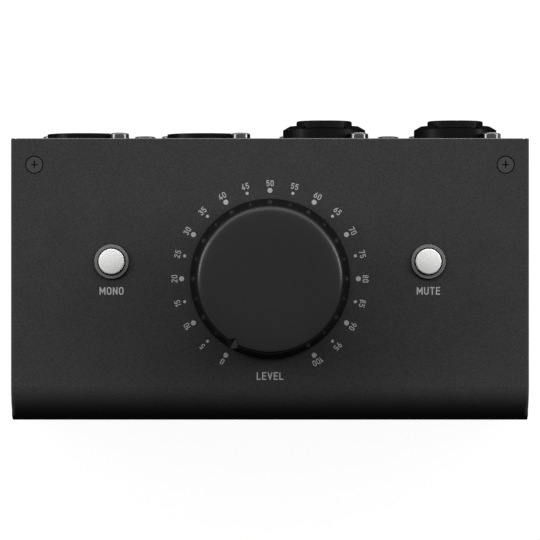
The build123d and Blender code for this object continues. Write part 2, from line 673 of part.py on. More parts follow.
def input_contacts(x):
    contacts = []
    sleeve_r = SOCKET_R - INSERT_FIT
    front = rear_y + INSERT_PROUD - SLEEVE_SETBACK
    for pin_x, pin_z in pin_places(x):
        sleeve = rod_y(pin_x, pin_z, front - SLEEVE_LENGTH, front, sleeve_r)
        sleeve -= rod_y(pin_x, pin_z, front - SLEEVE_LENGTH, front, sleeve_r - SLEEVE_WALL)
        wire = rod_y(pin_x, pin_z, tail_y - 2 * TAIL_R, front - SLEEVE_LENGTH, sleeve_r)
        contacts.append(sleeve + wire + solder_tail(pin_x, pin_z))
    half = BLADE / 2
    low = main_low - TAIL_BELOW_BOARD
    for blade_x, y in blade_places(x):
        contacts.append(block(blade_x - half, blade_x + half, y - half, y + half, low, blade_top))
    return contacts


def input_latch(x):
    half = LATCH_WIDTH / 2
    pivot_y = panel_in - PIVOT_SETBACK
    low = axis_z + LATCH_LOW
    pad_start = rear_y + LATCH_PAD_START
    pad_end = rear_y + LATCH_PAD_END
    lever = block(x - half, x + half, pivot_y, pad_start + LATCH_THICK / 2, low, low + LATCH_THICK)
    lever += rod_x(pivot_y, latch_pivot_z, x - half, x + half, PIVOT_EYE_R)
    lever += sector(x, LATCH_PAD_IN_R, LATCH_PAD_R, LATCH_PAD_HALF_ANGLE, pad_start, pad_end)
    return lever - rod_x(pivot_y, latch_pivot_z, x - half, x + half, PIVOT_R + PIVOT_PLAY)


def input_latch_pin(x):
    reach = LATCH_WIDTH / 2 + LATCH_SIDE_GAP + PIVOT_REACH
    return rod_x(panel_in - PIVOT_SETBACK, latch_pivot_z, x - reach, x + reach, PIVOT_R)


def input_latch_spring(x):
    spring_y = panel_in - LATCH_SPRING_SETBACK
    top = axis_z + LATCH_LOW
    return coil(x, spring_y, latch_spring_low, top, LATCH_SPRING_R, LATCH_SPRING_WIRE_R, LATCH_SPRING_TURNS)


def connector_screws():
    length = SHEET + FLANGE_SCREW_REACH - FLANGE_SCREW_SPARE
    screw = pan_screw(FLANGE_HEAD_R, FLANGE_HEAD_HEIGHT, FLANGE_SCREW_R, length)
    return [facing_rear(x, z, panel_out, screw) for x, z in flange_screw_places]


# ---------------------------------------------------------------- main board
main_post_places = [
    (MAIN_POST_FROM_END - main_half, main_front + MAIN_POST_FROM_FRONT),
    (main_half - MAIN_POST_FROM_END, main_front + MAIN_POST_FROM_FRONT),
    (middle_gap_x, main_rear - MAIN_POST_FROM_REAR),
]


def main_board():
    board = block(-main_half, main_half, main_front, main_rear, main_low, main_top)
    for x, y in main_post_places:
        board -= rod_z(x, y, main_low, main_top, BOARD_SCREW_R + HOLE_GAP)
    for x in outputs + inputs:
        for tail_x, _ in pin_places(x):
            board -= rod_z(tail_x, tail_y, main_low, main_top, TAIL_R + TAIL_HOLE_GAP)
    for x in inputs:
        for place in blade_places(x):
            board -= rod_z(*place, main_low, main_top, BLADE / sqrt(2) + TAIL_HOLE_GAP)
    return board


def board_post(x, y, z0, z1, z_open):
    """Threaded pillar between z0 and z1, open at the end z_open."""
    bore_r = BOARD_SCREW_R + THREAD_GAP
    depth = BOARD_SCREW_REACH + POST_BORE_SPARE
    bore_low = z_open - depth if z_open == z1 else z_open
    return rod_z(x, y, z0, z1, bore_r + POST_RING) - rod_z(x, y, bore_low, bore_low + depth, bore_r)


def main_standoffs():
    return [board_post(x, y, plate_top, main_low, main_low) for x, y in main_post_places]


def board_screw():
    return pan_screw(BOARD_HEAD_R, BOARD_HEAD_HEIGHT, BOARD_SCREW_R, BOARD + BOARD_SCREW_REACH)


def main_screws():
    return [Pos(x, y, main_top) * board_screw() for x, y in main_post_places]


def earth_brackets():
    """Angles that tie the board's rear edge to the rear panel, between the connectors."""
    half = BRACKET_WIDTH / 2
    brackets = []
    for x in bracket_x:
        angle = block(x - half, x + half, panel_in - SHEET, panel_in, main_top, main_top + BRACKET_HEIGHT)
        angle += block(x - half, x + half, panel_in - BRACKET_DEPTH, panel_in, main_top, main_top + SHEET)
        angle -= rod_y(x, bracket_screw_z, panel_in - SHEET, panel_in, BRACKET_SCREW_R + THREAD_GAP)
        brackets.append(angle)
    return brackets


def bracket_screws():
    length = 2 * SHEET + BRACKET_SCREW_REACH
    screw = pan_screw(BRACKET_HEAD_R, BRACKET_HEAD_HEIGHT, BRACKET_SCREW_R, length)
    return [facing_rear(x, bracket_screw_z, panel_out, screw) for x in bracket_x]


def resistors():
    """One row of surface-mounted resistors along the main board."""
    long, wide, high = RESISTOR_SIZE
    y = ribbon_y_low + RESISTORS_BEHIND_RIBBON
    first_x = -(RESISTOR_COUNT - 1) * RESISTOR_PITCH / 2
    resistor = Box(wide, long, high, align=STAND)
    return [Pos(first_x + index * RESISTOR_PITCH, y, main_top) * resistor for index in range(RESISTOR_COUNT)]


# ---------------------------------------------------------------- ribbon between the boards
def ribbon_cable():
    level_z = (control_low + main_top) / 2
    bend_r = min(RIBBON_BEND_R, RIBBON_BEND_SHARE * (level_z - main_top - SOCKET_HEIGHT))
    upper = [(ribbon_y_top, control_low), (ribbon_y_top, level_z)]
    lower = [(ribbon_y_low, level_z), (ribbon_y_low, main_top)]
    across = Plane(origin=(-RIBBON_WIDTH / 2, 0, 0), x_dir=(0, 1, 0), z_dir=(1, 0, 0))
    path = FilletPolyline(*upper, *lower, radius=bend_r)
    strip = trace(path, RIBBON_THICK)
    return extrude(across * strip, amount=RIBBON_WIDTH)


def ribbon_sockets():
    sockets = []
    half_x = RIBBON_WIDTH / 2 + SOCKET_WALL
    half_y = RIBBON_THICK / 2 + SOCKET_WALL
    slot_x = RIBBON_WIDTH / 2 + SOCKET_GAP
    slot_y = RIBBON_THICK / 2 + SOCKET_GAP
    for y, z0 in ((ribbon_y_top, control_low - SOCKET_HEIGHT), (ribbon_y_low, main_top)):
        socket = block(-half_x, half_x, y - half_y, y + half_y, z0, z0 + SOCKET_HEIGHT)
        sockets.append(socket - block(-slot_x, slot_x, y - slot_y, y + slot_y, z0, z0 + SOCKET_HEIGHT))
    return sockets


# ---------------------------------------------------------------- control board
control_post_places = [
    (x, y)
    for x in (CONTROL_POST_FROM_END - control_half, control_half - CONTROL_POST_FROM_END)
    for y in (knob_y - CONTROL_POST_FRONT, knob_y + CONTROL_POST_REAR)
]


def terminal_rows(gang):
    """Y of a gang's terminals, each gang one row further forward."""
    return knob_y - POT_SIZE / 2 - TERMINAL_ROW * (POT_GANGS - gang)


def switch_terminal_places(x):
    spread = SWITCH_SIZE / 2 - SWITCH_TERMINAL_INSET
    return [(x + dx, button_y + dy) for dx in (-spread, spread) for dy in (-spread, 0, spread)]


def control_board():
    board = block(-control_half, control_half, control_front, control_rear, control_low, control_top)
    for x, y in control_post_places:
        board -= rod_z(x, y, control_low, control_top, BOARD_SCREW_R + HOLE_GAP)
    hole_r = TERMINAL / sqrt(2) + TAIL_HOLE_GAP
    for gang in range(POT_GANGS):
        for column in (-1, 0, 1):
            board -= rod_z(column * TERMINAL_PITCH, terminal_rows(gang), control_low, control_top, hole_r)
    for button_x in button_places.values():
        for x, y in switch_terminal_places(button_x):
            board -= rod_z(x, y, control_low, control_top, TAIL_R + TAIL_HOLE_GAP)
    return board


def control_standoffs():
    return [board_post(x, y, control_top, ceiling_z, control_top) for x, y in control_post_places]


def control_screws():
    screw = Rot(180, 0, 0) * board_screw()
    return [Pos(x, y, control_low) * screw for x, y in control_post_places]


# ---------------------------------------------------------------- potentiometer
def pot_bushing():
    """Front plate with its threaded bushing."""
    half = POT_SIZE / 2
    plate = block(-half, half, knob_y - half, knob_y + half, pot_plate_low, ceiling_z)
    plate += rod_z(0, knob_y, pot_plate_low, top_z + BUSHING_TOP, BUSHING_R)
    return plate - rod_z(0, knob_y, pot_plate_low, top_z + BUSHING_TOP, SHAFT_R + SHAFT_PLAY)


def wafer_low(gang):
    return pot_low + gang * POT_WAFER


def pot_wafers():
    half = POT_SIZE / 2
    wafers = []
    for gang in range(POT_GANGS):
        low = wafer_low(gang)
        wafer = block(-half, half, knob_y - half, knob_y + half, low, low + POT_WAFER)
        wafer = chamfer(wafer.edges().filter_by(Axis.Z), POT_CORNER)
        floor = low + POT_WAFER - POT_CAVITY_DEPTH
        wafer -= rod_z(0, knob_y, floor, low + POT_WAFER, POT_CAVITY_R)
        wafer -= rod_z(0, knob_y, low, floor, SHAFT_R + POT_PLAY)
        wafers.append(wafer)
    return wafers


def pot_tracks():
    tracks = []
    for gang in range(POT_GANGS):
        floor = wafer_low(gang) + POT_WAFER - POT_CAVITY_DEPTH
        tracks.append(ring_z(0, knob_y, floor, floor + POT_TRACK, POT_TRACK_R, SHAFT_R + POT_PLAY))
    return tracks


def pot_terminals():
    half = TERMINAL / 2
    pins = []
    for gang in range(POT_GANGS):
        y = terminal_rows(gang)
        z = wafer_low(gang) + (POT_WAFER - POT_CAVITY_DEPTH) / 2
        for column in (-1, 0, 1):
            x = column * TERMINAL_PITCH
            pin = block(x - half, x + half, y - half, knob_y - POT_SIZE / 2, z - half, z + half)
            pin += block(x - half, x + half, y - half, y + half, control_low - TAIL_BELOW_BOARD, z + half)
            pins.append(pin)
    return pins


def pot_shaft():
    shaft = rod_z(0, knob_y, pot_low, top_z + SHAFT_TOP, SHAFT_R)
    flat_z = (top_z + hub_low, top_z + SHAFT_TOP)
    return shaft - block(SHAFT_FLAT, SHAFT_R, knob_y - SHAFT_R, knob_y + SHAFT_R, *flat_z)


def pot_wipers():
    wipers = []
    for gang in range(POT_GANGS):
        low = wafer_low(gang) + POT_WAFER - POT_CAVITY_DEPTH + POT_TRACK + POT_PLAY
        wipers.append(ring_z(0, knob_y, low, low + POT_WIPER, POT_WIPER_R, SHAFT_R))
    return wipers


def pot_washer():
    return ring_z(0, knob_y, top_z, top_z + WASHER, WASHER_R, BUSHING_R + THREAD_GAP)


def pot_nut():
    low = top_z + WASHER
    nut = Pos(0, knob_y, low) * extrude(RegularPolygon(POT_NUT_R, 6), amount=POT_NUT)
    return nut - rod_z(0, knob_y, low, low + POT_NUT, BUSHING_R + THREAD_GAP)


# ---------------------------------------------------------------- knob
skirt_top = SKIRT_GAP + SKIRT_RISE
skirt_top_r = SKIRT_R - SKIRT_RISE * tan(radians(SKIRT_SLOPE))
seat = skirt_top - KNOB_SINK
hub_low = BUSHING_TOP + HUB_CLEARANCE
spigot_r = KNOB_R - KNOB_WALL - KNOB_FIT


def knob_frame():
    """Plane on the panel at the knob's axis, its X along the pointer."""
    return Pos(0, knob_y, top_z) * Rot(0, 0, POINTER_ANGLE)


def knob_shell():
    """Crowned cap with a notch for the pointer, the notch's mouth flared into the wall."""
    shoulder = KNOB_HEIGHT - KNOB_SHOULDER
    pull = (KNOB_R, KNOB_HEIGHT - KNOB_SHOULDER_PULL)
    crown = Bezier((0, KNOB_HEIGHT), (KNOB_R, KNOB_HEIGHT), pull, (KNOB_R, shoulder))
    wall = Polyline((KNOB_R, shoulder), (KNOB_R, seat), (0, seat), (0, KNOB_HEIGHT))
    body = revolve(Plane.XZ * make_face([crown, wall]), Axis.Z)
    apex = KNOB_R - NOTCH_DEPTH
    reach = 2 * NOTCH_DEPTH
    spread = NOTCH_HALF_WIDTH * reach / NOTCH_DEPTH
    notch = Polyline((apex, 0), (apex + reach, spread), (apex + reach, -spread), close=True)
    plan = Circle(KNOB_R) - make_face(notch)
    plan = fillet(plan.vertices().sort_by(Axis.X)[:1], NOTCH_APEX_R)
    plan = fillet(plan.vertices().sort_by(Axis.X)[-2:], NOTCH_MOUTH_R)
    body &= Pos(0, 0, seat) * extrude(plan, amount=KNOB_HEIGHT)
    body -= rod_z(0, 0, seat, KNOB_HEIGHT - KNOB_WALL, KNOB_R - KNOB_WALL)
    return knob_frame() * body


def pointer():
    """Ridged pointer, sharp in the shell's notch and round over the skirt's rim."""
    inner = KNOB_R - NOTCH_DEPTH + 2 * NOTCH_CLEARANCE
    wing = NOTCH_HALF_WIDTH - NOTCH_CLEARANCE
    wing_x = KNOB_R + KNOB_SEAM
    tip = SKIRT_R - POINTER_INSET
    low = SKIRT_GAP + POINTER_INSET
    flanks = Polyline((wing_x, wing), (inner, 0), (wing_x, -wing))
    nose = ThreePointArc((wing_x, -wing), (tip, 0), (wing_x, wing))
    body = Pos(0, 0, low) * extrude(make_face([flanks, nose]), amount=KNOB_HEIGHT)
    ridge = Plane((inner, 0, skirt_top + POINTER_RISE), (0, 1, 0), (tip - inner, 0, -POINTER_FALL))
    eave = (2 * wing, -2 * wing * tan(radians(POINTER_FLANK)))
    foot = (2 * wing, -KNOB_HEIGHT)
    section = Polyline((0, 0), eave, foot, (-foot[0], foot[1]), (-eave[0], eave[1]), close=True)
    return body & extrude(ridge * make_face(section), amount=KNOB_HEIGHT, both=True)


def knob_skirt():
    """Skirt, web, hub and the spigot that holds the shell, in one moulding."""
    cone = Pos(0, 0, SKIRT_GAP) * Cone(SKIRT_R, skirt_top_r, SKIRT_RISE, align=STAND)
    web_low = seat - KNOB_WEB
    inner_r = spigot_r - KNOB_SPIGOT_WALL
    cone -= Pos(0, 0, SKIRT_GAP) * Cylinder(inner_r, web_low - SKIRT_GAP, align=STAND)
    cone -= Pos(0, 0, seat) * Cylinder(KNOB_R + KNOB_SEAM, SKIRT_RISE, align=STAND)
    skirt = cone + rod_z(0, 0, seat, seat + KNOB_SPIGOT_HEIGHT, spigot_r)
    skirt -= rod_z(0, 0, seat, seat + KNOB_SPIGOT_HEIGHT, inner_r)
    skirt += pointer()
    rise = rod_z(0, 0, web_low, hub_low + KNOB_WEB, WASHER_R + 2 * KNOB_WEB)
    rise -= rod_z(0, 0, web_low, hub_low, WASHER_R + KNOB_WEB)
    skirt -= rod_z(0, 0, web_low, seat, WASHER_R + KNOB_WEB)
    hub = rod_z(0, 0, hub_low, SHAFT_TOP + HUB_TOP, HUB_R)
    skirt += rise + hub
    bore_r = SHAFT_R + SHAFT_PLAY
    bore = rod_z(0, 0, hub_low, SHAFT_TOP + SHAFT_PLAY, bore_r)
    bore -= block(SHAFT_FLAT + SHAFT_PLAY, bore_r, -bore_r, bore_r, hub_low, SHAFT_TOP + SHAFT_PLAY)
    return knob_frame() * (skirt - Rot(0, 0, -POINTER_ANGLE) * bore)


def knob_clip():
    """Split spring ring round the hub."""
    low = SHAFT_TOP - CLIP_HEIGHT
    inner_r = HUB_R + KNOB_FIT
    ring = ring_z(0, 0, low, SHAFT_TOP, inner_r + CLIP_WALL, inner_r)
    ring -= block(0, 2 * HUB_R, -CLIP_GAP_WIDTH / 2, CLIP_GAP_WIDTH / 2, low, SHAFT_TOP)
    return knob_frame() * ring


# ---------------------------------------------------------------- push buttons
chamber_low = control_top + SWITCH_FLOOR
flange_low = chamber_low + BUTTON_SPRING_PRESSED + BUTTON_TRAVEL
flange_top = flange_low + PLUNGER_FLANGE
chamber_top = flange_top + SPRING_SEAT_GAP
switch_top = chamber_top + SWITCH_TOP
cap_top = top_z + CAP_PROUD
cap_low = cap_top - CAP_LENGTH


def button_bezels():
    bezels = []
    for x in button_places.values():
        bezel = rod_z(x, button_y, top_z, top_z + BEZEL_PROUD, BEZEL_R)
        bezel = fillet(end_rim(bezel, Axis.Z), BEZEL_EDGE_R)
        bezel += rod_z(x, button_y, ceiling_z - BEZEL_STEM_LENGTH, top_z, BEZEL_STEM_R)
        bezel -= rod_z(x, button_y, ceiling_z - BEZEL_STEM_LENGTH, top_z + BEZEL_PROUD, BEZEL_BORE_R)
        bezels.append(bezel)
    return bezels


def button_cap(x):
    cap = domed_rod(x, button_y, cap_low, cap_top, CAP_R, CAP_DOME, CAP_EDGE_R)
    half = PLUNGER / 2 + CAP_SOCKET_GAP
    socket_z = (cap_low, cap_low + CAP_SOCKET_DEPTH)
    return cap - block(x - half, x + half, button_y - half, button_y + half, *socket_z)


def button_plunger(x):
    half = PLUNGER / 2
    stem_z = (flange_low, cap_low + CAP_SOCKET_DEPTH)
    stem = block(x - half, x + half, button_y - half, button_y + half, *stem_z)
    return stem + rod_z(x, button_y, flange_low, flange_top, PLUNGER_FLANGE_R)


def button_spring(x):
    seats = (chamber_low, flange_low)
    return coil(x, button_y, *seats, BUTTON_SPRING_R, BUTTON_SPRING_WIRE_R, BUTTON_SPRING_TURNS)


def button_switch(x):
    half = SWITCH_SIZE / 2
    case = block(x - half, x + half, button_y - half, button_y + half, control_top, switch_top)
    case = chamfer(case.edges().filter_by(Axis.Z), SWITCH_CORNER)
    case -= rod_z(x, button_y, chamber_low, chamber_top, SWITCH_BORE_R)
    slot = PLUNGER / 2 + PLUNGER_GAP
    return case - block(x - slot, x + slot, button_y - slot, button_y + slot, chamber_top, switch_top)


def switch_terminals(x):
    tail = rod_z(0, 0, control_low - TAIL_BELOW_BOARD, control_top, TAIL_R)
    return [Pos(*place) * tail for place in switch_terminal_places(x)]


# ---------------------------------------------------------------- the whole object
def all_nodes():
    nodes = {
        "top_cover": top_cover(),
        "base_tray": base_tray(),
        "rubber_feet": rubber_feet(),
        "cover_screws": cover_screws(),
        "cover_nuts": cover_nuts(),
        "base_screws": base_screws(),
        "base_nuts": base_nuts(),
        "connector_screws": connector_screws(),
        "main_board": main_board(),
        "main_standoffs": main_standoffs(),
        "main_screws": main_screws(),
        "earth_brackets": earth_brackets(),
        "bracket_screws": bracket_screws(),
        "resistors": resistors(),
        "ribbon_cable": ribbon_cable(),
        "ribbon_sockets": ribbon_sockets(),
        "control_board": control_board(),
        "control_standoffs": control_standoffs(),
        "control_screws": control_screws(),
        "pot_bushing": pot_bushing(),
        "pot_wafers": pot_wafers(),
        "pot_tracks": pot_tracks(),
        "pot_terminals": pot_terminals(),
        "pot_shaft": pot_shaft(),
        "pot_wipers": pot_wipers(),
        "pot_washer": pot_washer(),
        "pot_nut": pot_nut(),
        "knob_shell": knob_shell(),
        "knob_skirt": knob_skirt(),
        "knob_clip": knob_clip(),
        "button_bezels": button_bezels(),
    }
    for name, x in output_x.items():
        nodes[f"{name}_shell"] = output_shell(x)
        nodes[f"{name}_pins"] = output_pins(x)
    for name, x in input_x.items():
        nodes[f"{name}_shell"] = input_shell(x)
        nodes[f"{name}_insert"] = input_insert(x)
        nodes[f"{name}_contacts"] = input_contacts(x)
        nodes[f"{name}_latch"] = input_latch(x)
        nodes[f"{name}_latch_pin"] = input_latch_pin(x)
        nodes[f"{name}_latch_spring"] = input_latch_spring(x)
    for name, x in button_places.items():
        nodes[f"{name}_button"] = button_cap(x)
        nodes[f"{name}_plunger"] = button_plunger(x)
        nodes[f"{name}_spring"] = button_spring(x)
        nodes[f"{name}_switch"] = button_switch(x)
        nodes[f"{name}_terminals"] = switch_terminals(x)
    return nodes


os.makedirs("parts", exist_ok=True)
for node, shape in all_nodes().items():
    pieces = shape if isinstance(shape, list) else [shape]
    solids = [solid for piece in pieces for solid in piece.solids()]
    export_step(Compound(label=node, children=solids), f"parts/{node}.step")
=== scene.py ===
import json
from math import cos, pi, radians, sin, tau

import bmesh
import bpy
from mathutils import Matrix, Vector
from mathutils.geometry import delaunay_2d_cdt


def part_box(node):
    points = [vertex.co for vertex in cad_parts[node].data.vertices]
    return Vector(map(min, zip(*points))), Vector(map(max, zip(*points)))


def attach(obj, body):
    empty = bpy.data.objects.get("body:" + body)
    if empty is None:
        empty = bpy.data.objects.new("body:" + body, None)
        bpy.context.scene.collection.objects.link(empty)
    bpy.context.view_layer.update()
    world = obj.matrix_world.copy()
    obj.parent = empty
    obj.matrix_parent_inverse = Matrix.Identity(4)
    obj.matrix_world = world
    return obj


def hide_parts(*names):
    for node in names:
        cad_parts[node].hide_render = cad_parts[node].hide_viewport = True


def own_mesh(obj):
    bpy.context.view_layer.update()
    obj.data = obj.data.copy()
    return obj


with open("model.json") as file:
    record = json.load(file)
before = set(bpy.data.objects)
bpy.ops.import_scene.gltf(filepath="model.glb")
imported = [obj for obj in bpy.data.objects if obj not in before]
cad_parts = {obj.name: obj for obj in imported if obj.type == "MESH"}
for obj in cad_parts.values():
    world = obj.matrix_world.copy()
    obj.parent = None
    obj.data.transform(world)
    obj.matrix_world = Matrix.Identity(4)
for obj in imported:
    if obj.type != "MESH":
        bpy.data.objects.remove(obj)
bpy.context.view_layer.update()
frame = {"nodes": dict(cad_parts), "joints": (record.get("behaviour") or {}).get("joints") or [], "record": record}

# Looks of a desktop studio monitor controller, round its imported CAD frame. Metres, +Z up, +Y to the rear.
MM = 0.001

# ---------------------------------------------------------------- camera and stage
CAMERA_HEIGHT = 922.7 * MM  # above the top face
CAMERA_BEHIND_KNOB = 2.45 * MM
LENS = 220.0  # millimetres, as the sensor is
SENSOR = 36.0
FLOOR_HALF = 4.0
FLOOR_CELLS = 8  # along each side
FLOOR_TONE = 0.11
FLOOR_GLOW = 0.96  # 1 is white
AMBIENT = 0.015  # strength of the world's light on the object

# ---------------------------------------------------------------- prints on the top face
SCALE_STEPS = 20
STEP_VALUE = 5
DOT_CIRCLE_R = 24.71 * MM
TEN_DOT_R = 0.70 * MM
FIVE_DOT_R = 0.43 * MM
DOT_SIDES = 40
NUMERAL_CIRCLE_R = 26.72 * MM  # middle of the numerals
NUMERAL_HEIGHT = 1.70 * MM
NUMERAL_STROKE = 0.25 * MM
LABEL_HEIGHT = 2.17 * MM
LABEL_STROKE = 0.34 * MM
LEVEL_LABEL_DROP = 27.2 * MM  # middle of the word ahead of the knob's axis
BUTTON_LABEL_DROP = 8.18 * MM
INK_THICKNESS = 0.012 * MM
MERGE = 1e-4  # corners of a print closer than this, in millimetres, are one
DIGIT_WIDTH = 0.46  # of its centre lines, in a cell that is 1 high
ARC_STEP = 9.0  # degrees
LETTER_GAP = 1.05  # clear space between letters, in strokes
CLOSED_WITHIN = 0.1  # a stroke is a ring if its ends are closer than this, in half stroke widths

# ---------------------------------------------------------------- surfaces
NOISE_RANGE = (0.3, 0.7)  # the values that the noise mostly takes
PATCH_DETAIL = 3.0
COAT_ROUGHNESS = 0.08
WORN_WIDTH = 0.15 * MM
WORN_SHARE = 0.3  # of the worn colour where the wear is full
WORN_SAMPLES = 4
WORN_FACING = (0.75, 0.98)  # dot product of rounded and true normal, at a worn edge and on a flat
WORN_GRAIN = (0.45, 0.75)  # noise at which the wear begins and is full
# Painted shade: crevices, gaps and the foot of raised parts are mixed towards this near-black where ambient
# occlusion finds them closed in, standing in for the shade that falls there.
PAINTED_CREVICE_SHADE = (0.0015, 0.0015, 0.0015)
CREVICE_SHADE_SAMPLES = 8
CREVICE_SHADE_OPENNESS = (0.45, 0.85)  # ambient occlusion in a full crevice and in the open
# Painted highlight: a lighter band along the top cover's rear edge, standing in for the rear light caught by the
# edge's rounding. Its colour, its width from the rear and the width over which it fades in.
PAINTED_EDGE_HIGHLIGHT = (0.14, 0.14, 0.14)
HIGHLIGHT_BAND_WIDTH = 0.22 * MM
HIGHLIGHT_BAND_BLEND = 0.08 * MM

# ---------------------------------------------------------------- places from the frame
BUTTONS = ("mono", "mute")
INPUTS = ("input_left", "input_right")
joints = {joint["name"]: joint for joint in frame["joints"]}
knob_x, knob_y, panel_z = joints["level_turn"]["pos_m"]
scale_turn = -joints["level_turn"]["range_deg"][0]
cover_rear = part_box("top_cover")[1].y


def middle_of(node):
    low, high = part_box(node)
    return (low + high) / 2


# ---------------------------------------------------------------- new objects
def add(name, data):
    """A new object in the scene that shows this mesh, lamp or camera."""
    thing = bpy.data.objects.new(name, data)
    bpy.context.scene.collection.objects.link(thing)
    return thing


def mesh_data(name, mesh):
    data = bpy.data.meshes.new(name)
    mesh.to_mesh(data)
    mesh.free()
    return data


# ---------------------------------------------------------------- letters
def arc(x, y, rx, ry, start, end):
    """Points of an ellipse round x, y, from one angle to another in degrees."""
    steps = max(2, round(abs(end - start) / ARC_STEP))
    angles = [radians(start + (end - start) * step / steps) for step in range(steps + 1)]
    return [(x + rx * cos(angle), y + ry * sin(angle)) for angle in angles]


def oval(width):
    """Closed stroke with straight sides and round ends."""
    r = width / 2
    return arc(r, 1 - r, r, r, 0, 180) + arc(r, r, r, r, 180, 360) + [(width, 1 - r)]


def glyphs():
    """Centre lines of each letter in a cell that is 1 high, as (width, strokes). A stroke is a list of
    points. A digit's width is w, and half of it is r."""
    w = DIGIT_WIDTH
    r = w / 2
    bowl = 0.28
    six = [arc(r, bowl, r, bowl, 0, 360), [(0.02 * w, 0.38), (0.10 * w, 0.50), (0.66 * w, 1.0)]]
    nine = [[(w - x, 1 - y) for x, y in stroke] for stroke in six]
    return {
        "0": (w, [oval(w)]),
        "1": (0.56 * w, [[(0.0, 0.76), (0.56 * w, 1.0), (0.56 * w, 0.0)]]),
        "2": (w, [arc(r, 1 - r, r, r, 168, -38) + [(0.0, 0.0), (w, 0.0)]]),
        "3": (w, [arc(r, 0.765, 0.92 * r, 0.235, 155, -90), arc(r, 0.265, r, 0.265, 90, -155)]),
        "4": (w, [[(0.62 * w, 1.0), (0.0, 0.22), (1.06 * w, 0.22)], [(0.76 * w, 0.46), (0.76 * w, 0.0)]]),
        "5": (w, [[(0.94 * w, 1.0), (0.10 * w, 1.0), (0.06 * w, 0.55)] + arc(r, 0.31, r, 0.31, 112, -148)]),
        "6": (w, six),
        "7": (w, [[(0.0, 1.0), (w, 1.0), (0.36 * w, 0.0)]]),
        "8": (w, [arc(r, 0.765, 0.9 * r, 0.235, 0, 360), arc(r, 0.265, r, 0.265, 0, 360)]),
        "9": (w, nine),
        "L": (0.44, [[(0.0, 1.0), (0.0, 0.0), (0.44, 0.0)]]),
        "E": (0.46, [[(0.46, 1.0), (0.0, 1.0), (0.0, 0.0), (0.46, 0.0)], [(0.0, 0.52), (0.40, 0.52)]]),
        "V": (0.56, [[(0.0, 1.0), (0.28, 0.0), (0.56, 1.0)]]),
        "M": (0.72, [[(0.0, 0.0), (0.0, 1.0), (0.36, 0.3), (0.72, 1.0), (0.72, 0.0)]]),
        "O": (0.54, [oval(0.54)]),
        "N": (0.54, [[(0.0, 0.0), (0.0, 1.0), (0.54, 0.0), (0.54, 1.0)]]),
        "U": (0.54, [[(0.0, 1.0)] + arc(0.27, 0.27, 0.27, 0.27, 180, 360) + [(0.54, 1.0)]]),
        "T": (0.52, [[(0.0, 1.0), (0.52, 1.0)], [(0.26, 1.0), (0.26, 0.0)]]),
    }


GLYPHS = glyphs()


def stroke_pieces(points, half, top):
    """A rectangle for each run of a stroke and a mitre at each corner, cut off at the cap height."""
    points = [Vector(point) for point in points]
    closed = (points[0] - points[-1]).length < half * CLOSED_WITHIN
    runs = list(zip(points, points[1:]))
    ways = [(end - start).normalized() for start, end in runs]
    pieces = []
    for index, (start, end) in enumerate(runs):
        way = ways[index]
        across = Vector((-way.y, way.x)) * half
        if not closed and index == 0:
            start = start - way * half
        if not closed and index == len(runs) - 1:
            end = end + way * half
        pieces.append([start + across, start - across, end - across, end + across])
    corners = list(zip(points[1:-1], ways, ways[1:]))
    if closed:
        corners.append((points[0], ways[-1], ways[0]))
    for point, before, after in corners:
        side = -1 if before.cross(after) > 0 else 1
        first, last = (Vector((-way.y, way.x)) * half * side for way in (before, after))
        tip = (first + last) * half**2 / (half**2 + first.dot(last))
        kite = [point, point + first, point + tip, point + last]
        pieces.append(kite if side < 0 else kite[::-1])
    return [[Vector((x, min(max(y, -half), top + half))) for x, y in piece] for piece in pieces]


def word_pieces(word, height, stroke):
    """Convex pieces of a word, its middle at the origin."""
    line = height - stroke
    gap = (1 + LETTER_GAP) * stroke
    pen = 0.0
    pieces = []
    for letter in word:
        width, strokes = GLYPHS[letter]
        for points in strokes:
            placed = [(pen + x * line, y * line) for x, y in points]
            pieces += stroke_pieces(placed, stroke / 2, line)
        pen += width * line + gap
    middle = Vector(((pen - gap) / 2, line / 2))
    return [[corner - middle for corner in piece] for piece in pieces]


def dot_pieces(r):
    """A dot as one polygon, its middle at the origin."""
    angles = [tau * side / DOT_SIDES for side in range(DOT_SIDES)]
    return [[Vector((r * cos(angle), r * sin(angle))) for angle in angles]]


# ---------------------------------------------------------------- prints
def ink_mesh(name, shapes):
    """Thin raised print on the panel. Each shape is (polygons, x, y, turn), its polygons merged into one."""
    mesh = bmesh.new()
    for polygons, x, y, turn in shapes:
        corners = [corner / MM for polygon in polygons for corner in polygon]
        loops = []
        first = 0
        for polygon in polygons:
            loops.append(list(range(first, first + len(polygon))))
            first += len(polygon)
        flat, _, faces, _, _, origins = delaunay_2d_cdt(corners, [], loops, 1, MERGE)
        faces = [face for face, origin in zip(faces, origins) if origin]  # the eyes of letters stay open
        place = Matrix.Translation((x, y, panel_z)) @ Matrix.Rotation(turn, 4, "Z")
        low = [mesh.verts.new(place @ Vector((*corner * MM, 0.0))) for corner in flat]
        high = [mesh.verts.new(place @ Vector((*corner * MM, INK_THICKNESS))) for corner in flat]
        edges = {}
        for face in faces:
            mesh.faces.new([high[index] for index in face])
            mesh.faces.new([low[index] for index in reversed(face)])
            for start, end in zip(face, face[1:] + face[:1]):
                edges[start, end] = True
        for start, end in edges:
            if (end, start) not in edges:  # only one face has this edge, so it lies on the outline
                mesh.faces.new([low[start], low[end], high[end], high[start]])
    for vert in [vert for vert in mesh.verts if not vert.link_faces]:
        mesh.verts.remove(vert)
    piece = add(name, mesh_data(name, mesh))
    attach(piece, "casing")
    return piece


